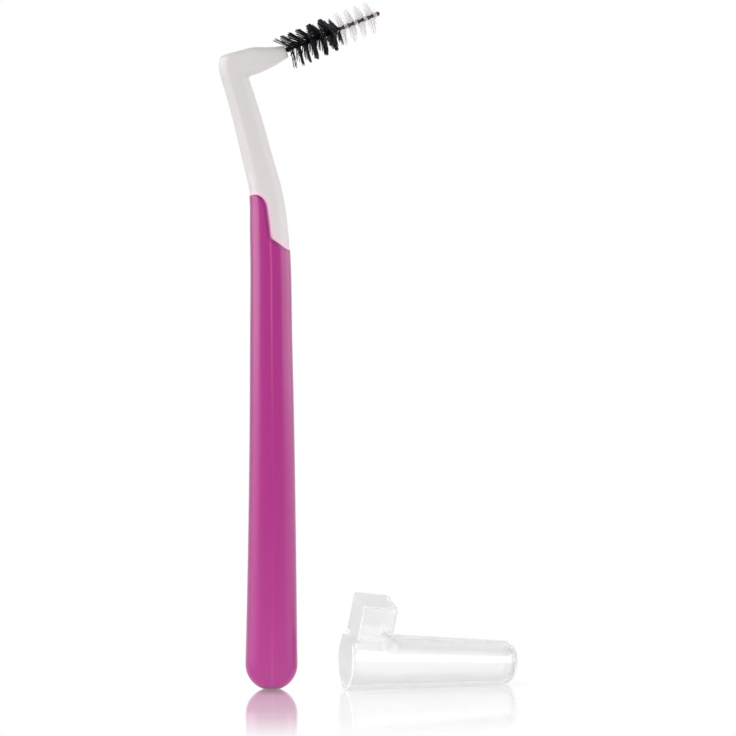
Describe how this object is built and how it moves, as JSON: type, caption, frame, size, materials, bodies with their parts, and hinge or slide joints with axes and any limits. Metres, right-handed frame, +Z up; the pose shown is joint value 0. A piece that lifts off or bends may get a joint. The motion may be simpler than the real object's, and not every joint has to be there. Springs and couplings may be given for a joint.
{
  "type": "interdental brush",
  "caption": "Interdental brush with an angled head: over-moulded handle, leaning neck, collar, twisted wire with black and clear filaments, and its clear cap lying beside it.",
  "frame": {"origin": "centre of the small flat on the handle's rounded lower end", "axes": "+Z up along the handle, +X towards the side that the head and the cap are on, +Y away from the viewer"},
  "size_m": [0.0516, 0.0166, 0.1183],
  "materials": {
    "core_white": "smooth moulded polypropylene",
    "grip_magenta": "satin over-moulded elastomer",
    "wire_steel": "drawn stainless steel",
    "filament_black": "nylon monofilament",
    "filament_natural": "translucent nylon monofilament",
    "cap_clear": "frosted clear polypropylene"
  },
  "bodies": {
    "brush": {"core": "core_white", "grip": "grip_magenta", "wire": "wire_steel", "black_filaments_row_1": "filament_black", "black_filaments_row_2": "filament_black", "black_filaments_row_3": "filament_black", "black_filaments_row_4": "filament_black", "black_filaments_row_5": "filament_black", "white_filaments_row_1": "filament_natural", "white_filaments_row_2": "filament_natural", "white_filaments_row_3": "filament_natural", "white_filaments_row_4": "filament_natural"},
    "cap": {"cap": "cap_clear"}
  },
  "joints": [
    {"name": "cap_slide", "type": "slide", "parent": "brush", "child": "cap", "axis": [0.9659, 0.2588, 0], "range_m": [0, 0.03]}
  ]
}
